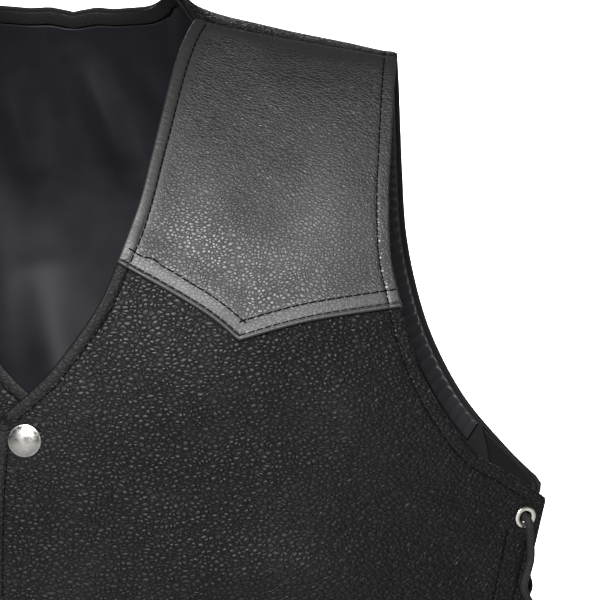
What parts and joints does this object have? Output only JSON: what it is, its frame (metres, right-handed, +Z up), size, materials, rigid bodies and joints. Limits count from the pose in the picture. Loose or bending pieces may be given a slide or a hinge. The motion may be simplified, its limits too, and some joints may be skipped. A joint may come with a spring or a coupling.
{
  "type": "leather vest with snap front and laced sides",
  "caption": "Sleeveless black leather vest, worn form, with V neck, pointed front yokes, snap front and laced sides.",
  "frame": {"origin": "middle of the neck opening, level with the points where the neck edge crosses the shoulder line, where the wearer's shoulders hold the vest", "axes": "+Z up, -Y the way the wearer faces, +X the wearer's left"},
  "size_m": [0.4912, 0.2235, 0.623],
  "materials": {
    "leather": "black pebbled cowhide, semi-matt",
    "lining": "dark satin",
    "nickel": "brushed nickel",
    "lace": "matt black braided cord"
  },
  "bodies": {
    "root": {"front_left": "leather", "yoke_left": "leather", "front_right": "leather", "yoke_right": "leather", "back": "leather", "neck_facing": "leather", "back_lining": "lining", "armhole_facing_left": "lining", "side_facing_left": "leather", "armhole_facing_right": "lining", "side_facing_right": "leather", "snap_1": "nickel", "snap_2": "nickel", "snap_3": "nickel", "snap_4": "nickel", "eyelet_front_left_1": "nickel", "eyelet_front_left_2": "nickel", "eyelet_front_left_3": "nickel", "eyelet_front_left_4": "nickel", "eyelet_front_left_5": "nickel", "eyelet_back_left_1": "nickel", "eyelet_back_left_2": "nickel", "eyelet_back_left_3": "nickel", "eyelet_back_left_4": "nickel", "eyelet_back_left_5": "nickel", "eyelet_front_right_1": "nickel", "eyelet_front_right_2": "nickel", "eyelet_front_right_3": "nickel", "eyelet_front_right_4": "nickel", "eyelet_front_right_5": "nickel", "eyelet_back_right_1": "nickel", "eyelet_back_right_2": "nickel", "eyelet_back_right_3": "nickel", "eyelet_back_right_4": "nickel", "eyelet_back_right_5": "nickel", "lace_left": "lace", "lace_knot_left_1": "lace", "lace_knot_left_2": "lace", "lace_right": "lace", "lace_knot_right_1": "lace", "lace_knot_right_2": "lace"}
  },
  "joints": []
}
